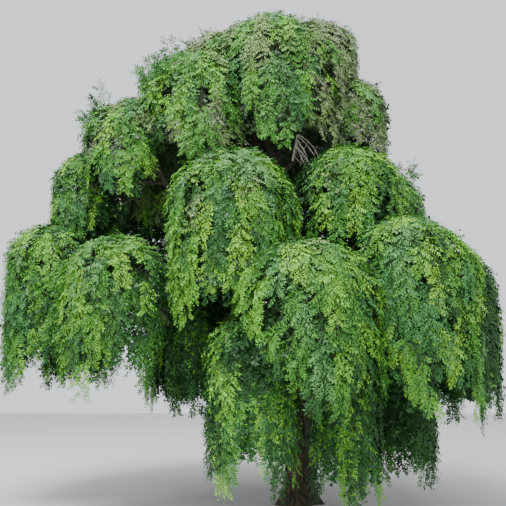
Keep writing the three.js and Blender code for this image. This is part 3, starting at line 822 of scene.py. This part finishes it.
# Leaf patterns lie along +X with their upper side to +Z, one unit long. Each is a list of triangles.
def leaflet_way(side, random):
    """The way a leaflet points: forward, to its side and a little down."""
    stray = side * random.uniform(*LEAFLET_ANGLES) + random.uniform(-LEAFLET_STRAY, LEAFLET_STRAY)
    angle = math.radians(stray)
    droop = math.radians(random.uniform(*LEAFLET_DROOP))
    level = math.cos(droop)
    return np.array([math.cos(angle) * level, math.sin(angle) * level, -math.sin(droop)])


def leaflet(form, place, side, random):
    """One leaflet: pointed at its foot and its tip, and widest near its middle."""
    forward = leaflet_way(side, random)
    roll = math.radians(random.uniform(-LEAFLET_ROLL, LEAFLET_ROLL))
    across = unit(np.cross([0, 0, 1], forward))
    across = across * math.cos(roll) + np.cross(forward, across) * math.sin(roll)
    foot = np.array([place, 0, 0])
    shorter = 1 - OTHERS_SHORTER * abs(place - LONGEST_AT)
    tip = forward * form.length * random.uniform(*LEAFLET_SIZES) * shorter
    belly = across * form.width * random.choice([-1, 1])
    return [foot, foot + tip * random.uniform(*LEAFLET_WIDEST) + belly, foot + tip]


def leaf_pattern(form, random):
    half = STALK_WIDTH / 2
    stalk = [[[0, -half, 0], [STALK_LENGTH, 0, 0], [0, half, 0]]] if form is FINE else []
    pairs = [leaflet(form, place, side, random) for place in form.places for side in (-1, 1)]
    return np.array(stalk + pairs + [leaflet(form, STALK_LENGTH, 0, random)])


def leaves_along(m, line, step, length, random):
    """Places, directions, upper sides and sizes of the leaves on one shoot."""
    run = np.append(0, np.cumsum(np.linalg.norm(np.diff(line, axis=0), axis=1)))
    count = int((run[-1] * (1 - LEAFLESS_SHARE)) / step)
    distance = run[-1] * LEAFLESS_SHARE + step * (np.arange(count) + 0.5)
    place = np.stack([np.interp(distance, run, line[:, axis]) for axis in range(3)], axis=-1)
    tangents = unit(np.gradient(line, axis=0))
    along = unit(np.stack([np.interp(distance, run, tangents[:, axis]) for axis in range(3)], axis=-1))
    middle = np.array([m.x, m.y, m.top - DOME_CENTRE_DEPTH * cap_height(m)])
    outward = place - middle
    outward[:, 2] = np.maximum(outward[:, 2], LEAST_OUTWARD_LIFT)
    outward = unit(outward - along * np.sum(outward * along, axis=-1, keepdims=True))
    beside = np.cross(along, outward)
    side = np.where(np.arange(count) % 2, 1.0, -1.0)[:, None]
    spread = random.uniform(*LEAF_SPREAD, (count, 1))
    lift = random.uniform(*LEAF_LIFT, (count, 1))
    onward = random.uniform(*LEAF_FORWARD, (count, 1))
    forward = beside * side * spread + outward * lift + along * onward
    forward[:, 2] -= random.uniform(*LEAF_DROOP, count)
    forward = unit(forward)
    up = outward + LEAF_FACE_UP + LEAF_TUMBLE * random.standard_normal((count, 3))
    up = unit(up - forward * np.sum(up * forward, axis=-1, keepdims=True))
    smaller = 1 - LAST_SMALLER * (distance / run[-1])**3
    size = length * random.uniform(*LEAF_SIZES, count) * smaller
    return place, forward, up, size


def inwardness(m, turn, s):
    """How far a place on a dome faces the crown's own middle, below the dome's top."""
    return -np.cos(turn - outward_turn(m)) * smoothstep(s, *INWARD_LEVELS)


def green_of(m, turn, s, random):
    """The kind of green of one shoot: a painted sky reflection of cooler greens on top, fresh below
    it, painted shade of dark greens on the inner side, and painted haze on the hazed mass.
    """
    weights = np.array(BLENDS[m.blend])
    if m.name == HAZED_MASS:
        x = m.x + m.radius * math.sin(min(s / CAP_SHARE, 1) * np.pi / 2) * math.cos(turn)
        weights = lerp(weights, np.array(BLENDS["flare_grey"]), smoothstep(x, HAZE_FROM, HAZE_FULL))
    weights = weights * lerp(1, TOP_SHEEN, 1 - smoothstep(s, *TOP_LEVELS))
    weights *= lerp(1, AT_HEM, smoothstep(s, *HEM_LEVELS))
    weights *= lerp(1, INWARD_SHADE, smoothstep(inwardness(m, turn, s), *INWARD_TURN))
    return KINDS[random.choice(len(weights), p=weights / weights.sum())]


def dress_mass(m, greens, twigs, shoots):
    """Grows the twigs, sprays, shoots and leaves of one mass. greens gathers leaves by kind."""
    random = np.random.default_rng(SEEDS[m.name])
    for twig in range(TWIGS):
        main_twig(twigs, m, borders_of(m, 0), twig)
    for layer in (OUTER, INNER):
        borders = borders_of(m, layer.mingling)
        for turn, tip in zip(*even_places(m, layer, random)):
            thinned = layer is OUTER and inwardness(m, turn, tip) > THINNED_FROM
            if thinned and random.random() > INWARD_SHARE:
                continue
            line = spray(m, layer, borders, turn, tip, random, twigs, shoots)
            if line is None:
                continue
            if layer is OUTER:
                kind = green_of(m, turn, tip, random)
            else:
                # The inner layer's leaves take a dark green, painted shade, lighter under the painted
                # haze of the upper masses.
                kind = SHADE_OF_BLEND.get(m.blend, "shade")
            leaves = leaves_along(m, line, layer.leaf_step, layer.leaf_length, random)
            place, forward, _, size = leaves
            end = place + forward * size[:, None]
            level = np.hypot(end[:, 0] - m.x, end[:, 1] - m.y)
            kept = (level < m.radius * MOST_REACH) & keeps_inside(m, borders, end)
            kept &= keeps_inside(m, borders, place)
            greens[kind].append([part[kept] for part in leaves])
    for line in feathers(m, shoots, random):
        kind = random.choice(FEATHER_KINDS)
        greens[kind].append(leaves_along(m, line, FEATHER_LEAF_STEP, FEATHER_LEAF_LENGTH, random))


def leaf_pieces(kind, gathered, material, nodes):
    """Sets a pattern of leaflets at each place, in pieces of a size that others can load."""
    place, forward, up, size = (np.concatenate(parts) for parts in zip(*gathered))
    across = np.cross(up, forward)
    frames = np.stack([forward, across, up], axis=1) * size[:, None, None]
    random = np.random.default_rng(PATTERN_SEED)
    form = BROAD if kind in SHADED_KINDS else FINE
    patterns = np.stack([leaf_pattern(form, random) for _ in range(LEAF_PATTERNS)])
    chosen = patterns[np.arange(len(place)) % LEAF_PATTERNS]
    blades = np.einsum("nbck,nkd->nbcd", chosen, frames) + place[:, None, None, :]
    blades = blades.reshape(-1, 3, 3)
    pieces = math.ceil(len(blades) / MOST_FACES_A_PIECE)
    for number, part in enumerate(np.array_split(blades, pieces)):
        mesh = Mesh(3)
        mesh.add(part, np.arange(len(part) * 3))
        mesh.piece(f"leaves_{kind}_{number + 1}", material, LEAF_SLOTS[kind], nodes)


def bare_twig_mesh(mesh):
    """Thin dead twigs that leave one short stem and hang from it."""
    seed = len(MASSES) + 1
    root, _, _ = place_on(BARE_LIMB, BARE_PLACE)
    end = root + BARE_STEM
    share = np.linspace(0, 1, BARE_STEPS)
    stem = root + BARE_STEM * share[:, None]
    foot_radius, end_radius = BARE_STEM_RADII
    add_tube(mesh, stem, lerp(foot_radius, end_radius * BARE_STEM_TAPER, share), BARE_STEM_SIDES)
    for twig in range(BARE_TWIGS):
        fork = lerp(root, end, lerp(BARE_FORK, 1, twig / (BARE_TWIGS - 1)))
        turn = 2 * np.pi * (twig + BARE_TURN_SWING * chance(seed, twig)) / BARE_TWIGS
        out = BARE_SPREAD * lerp(BARE_LEAST_SPREAD, 1, chance(seed, twig + BARE_SPREAD_DRAW))
        drop = BARE_DROP * lerp(BARE_LEAST_DROP, 1, chance(seed, twig + BARE_DROP_DRAW))
        arch = lerp(BARE_LEAST_ARCH, BARE_MOST_ARCH, chance(seed, twig + BARE_ARCH_DRAW))
        drift = BARE_DRIFT * (chance(seed, twig + BARE_DRIFT_DRAW) - 0.5)
        line = np.stack([
            fork[0] + out * np.cos(turn + drift * share) * np.sin(share * arch) + BARE_LEAN[0] * share,
            fork[1] + out * np.sin(turn + drift * share) * np.sin(share * arch) + BARE_LEAN[1] * share,
            fork[2] - drop * share**BARE_FALL,
        ], axis=-1)
        add_tube(mesh, line, lerp(BARE_RADIUS, BARE_RADIUS * BARE_TAPER, share), BARE_SIDES)
        for small in range(BARE_FORKS):
            start = line[FIRST_FORK + small]
            aside = turn + FORK_TURN * (small - 1)
            away = unit(np.array([np.cos(aside), np.sin(aside), FORK_SAG]))
            reach = drop * (FORK_REACH - FORK_SHORTENING * small)
            ends = np.array([start, start + away * reach / 2, start + away * reach + FORK_DROOP])
            add_tube(mesh, ends, FORK_RADII, FORK_SIDES)


# Materials
LEAF_ROUGHNESS = 0.55
LEAF_GLOSS = 0.3
BARK_ROUGHNESS = 0.92
BARK_BUMP = 0.7
GRAIN_DETAIL = 6
FURROW_LEVEL = 0.34
RIDGE_LEVEL = 0.68


def plain_material(name, colour, roughness, gloss):
    material = bpy.data.materials.new(name)
    material.use_nodes = True
    shader = material.node_tree.nodes["Principled BSDF"]
    shader.inputs["Base Color"].default_value = (*colour, 1)
    shader.inputs["Roughness"].default_value = roughness
    shader.inputs["Specular IOR Level"].default_value = gloss
    return material


def wood(name, furrow_and_shade, ridge_and_light, scale, stretch, bump):
    """Bark: darker in its furrows, partly its own colour and partly painted shade, lighter on its
    ridges, partly painted highlight, streaked along the limb, with a fine grain as bump.
    """
    material = bpy.data.materials.new(name)
    material.use_nodes = True
    nodes, links = material.node_tree.nodes, material.node_tree.links
    shader = nodes["Principled BSDF"]
    shader.inputs["Roughness"].default_value = BARK_ROUGHNESS
    place = nodes.new("ShaderNodeTexCoord")
    mapping = nodes.new("ShaderNodeMapping")
    mapping.inputs["Scale"].default_value = (1, 1, stretch)
    grain = nodes.new("ShaderNodeTexNoise")
    grain.inputs["Scale"].default_value = scale
    grain.inputs["Detail"].default_value = GRAIN_DETAIL
    colours = nodes.new("ShaderNodeValToRGB")
    colours.color_ramp.elements[0].position = FURROW_LEVEL
    colours.color_ramp.elements[0].color = (*furrow_and_shade, 1)
    colours.color_ramp.elements[1].position = RIDGE_LEVEL
    colours.color_ramp.elements[1].color = (*ridge_and_light, 1)
    relief = nodes.new("ShaderNodeBump")
    relief.inputs["Strength"].default_value = BARK_BUMP
    relief.inputs["Distance"].default_value = bump
    links.new(place.outputs["Object"], mapping.inputs["Vector"])
    links.new(mapping.outputs["Vector"], grain.inputs["Vector"])
    links.new(grain.outputs["Fac"], colours.inputs["Fac"])
    links.new(colours.outputs["Color"], shader.inputs["Base Color"])
    links.new(grain.outputs["Fac"], relief.inputs["Height"])
    links.new(relief.outputs["Normal"], shader.inputs["Normal"])
    return material


# Each bark's furrow colour is partly painted shade, and its ridge colour is partly painted highlight.
trunk_bark = wood("trunk_bark", furrow_and_shade=(0.012, 0.011, 0.006), ridge_and_light=(0.095, 0.082, 0.05),
                  scale=34, stretch=0.16, bump=0.008)
bough_bark = wood("bough_bark", furrow_and_shade=(0.022, 0.018, 0.013), ridge_and_light=(0.1, 0.085, 0.062),
                  scale=30, stretch=0.4, bump=0.004)
dead_bark = wood("dead_bark", furrow_and_shade=(0.62, 0.56, 0.5), ridge_and_light=(0.96, 0.91, 0.85),
                 scale=60, stretch=0.5, bump=0.001)
shoot_bark = wood("shoot_bark", furrow_and_shade=(0.05, 0.08, 0.02), ridge_and_light=(0.1, 0.15, 0.045),
                  scale=90, stretch=0.3, bump=0.0005)
twig_bark = wood("twig_bark", furrow_and_shade=(0.03, 0.03, 0.016), ridge_and_light=(0.085, 0.08, 0.045),
                 scale=70, stretch=0.4, bump=0.001)

# The tree
grow_boughs()
trunk = Mesh()
trunk_mesh(trunk)
trunk.piece("trunk_with_bark", trunk_bark, "bark", ["trunk"], smooth=True)

boughs, twigs, shoots, bare = Mesh(), Mesh(), Mesh(), Mesh()
for mass in MASSES:
    bough_mesh(boughs, mass)
bough_nodes = [node for node in cad_nodes if node.startswith("bough_")]
boughs.piece("boughs_with_bark", bough_bark, "bark", bough_nodes, smooth=True)
bare_twig_mesh(bare)
bare.piece("dead_twigs", dead_bark, "dead_wood", ["bare_twigs"], smooth=True)

greens = defaultdict(list)
for mass in MASSES:
    dress_mass(mass, greens, twigs, shoots)
foliage_nodes = [node for node in cad_nodes if node.startswith("foliage_")]
twigs.piece("side_twigs", twig_bark, "bark", smooth=True)
shoots.piece("hanging_shoots", shoot_bark, "foliage_olive", smooth=True)
for kind in KINDS:
    material = plain_material(f"leaf_{kind}", LEAF_COLOURS[kind], LEAF_ROUGHNESS, LEAF_GLOSS)
    leaf_pieces(kind, greens[kind], material, foliage_nodes)

# The floor, the light and the camera
FLOOR_SIZE = 60
FLOOR_COLOUR = (0.62, 0.62, 0.6)
FLOOR_ROUGHNESS = 0.9
FLOOR_GLOSS = 0.5
SKY_COLOUR = (0.93, 0.96, 1.0)
SKY_STRENGTH = 1.2
floor_mesh = bpy.data.meshes.new("floor")
half = FLOOR_SIZE / 2
corners = [(-half, -half, 0), (half, -half, 0), (half, half, 0), (-half, half, 0)]
floor_mesh.from_pydata(corners, [], [(0, 1, 2, 3)])
floor_mesh.materials.append(plain_material("floor_pale", FLOOR_COLOUR, FLOOR_ROUGHNESS, FLOOR_GLOSS))
floor = bpy.data.objects.new("floor", floor_mesh)
bpy.context.scene.collection.objects.link(floor)

world = bpy.data.worlds.new("studio")
world.use_nodes = True
world.node_tree.nodes["Background"].inputs["Color"].default_value = (*SKY_COLOUR, 1)
world.node_tree.nodes["Background"].inputs["Strength"].default_value = SKY_STRENGTH
bpy.context.scene.world = world


def soft_light(name, place, target, size, power):
    light = bpy.data.lights.new(name, "AREA")
    light.size = size
    light.energy = power
    lamp = bpy.data.objects.new(name, light)
    lamp.location = place
    lamp.rotation_euler = (Vector(target) - Vector(place)).to_track_quat("-Z", "Y").to_euler()
    bpy.context.scene.collection.objects.link(lamp)


soft_light("overhead", place=(-3.5, -6.0, 16.0), target=(-0.5, 0, 3.5), size=9, power=4600)
soft_light("front_fill", place=(3.0, -16.0, 6.0), target=(-0.5, 0, 3.0), size=8, power=500)

CAMERA_PLACE = (-0.63, -9.46, 1.6)
CAMERA_PITCH = math.radians(11.74)
SENSOR_WIDTH = 36
FOCAL_LENGTH = 45.53
FARTHEST_SEEN = 200
camera = bpy.data.cameras.new("camera")
camera.sensor_width = SENSOR_WIDTH
camera.lens = FOCAL_LENGTH
camera.clip_end = FARTHEST_SEEN
eye = bpy.data.objects.new("camera", camera)
eye.location = CAMERA_PLACE
eye.rotation_euler = (math.pi / 2 + CAMERA_PITCH, 0, 0)
bpy.context.scene.collection.objects.link(eye)
bpy.context.scene.camera = eye

bpy.context.view_layer.update()
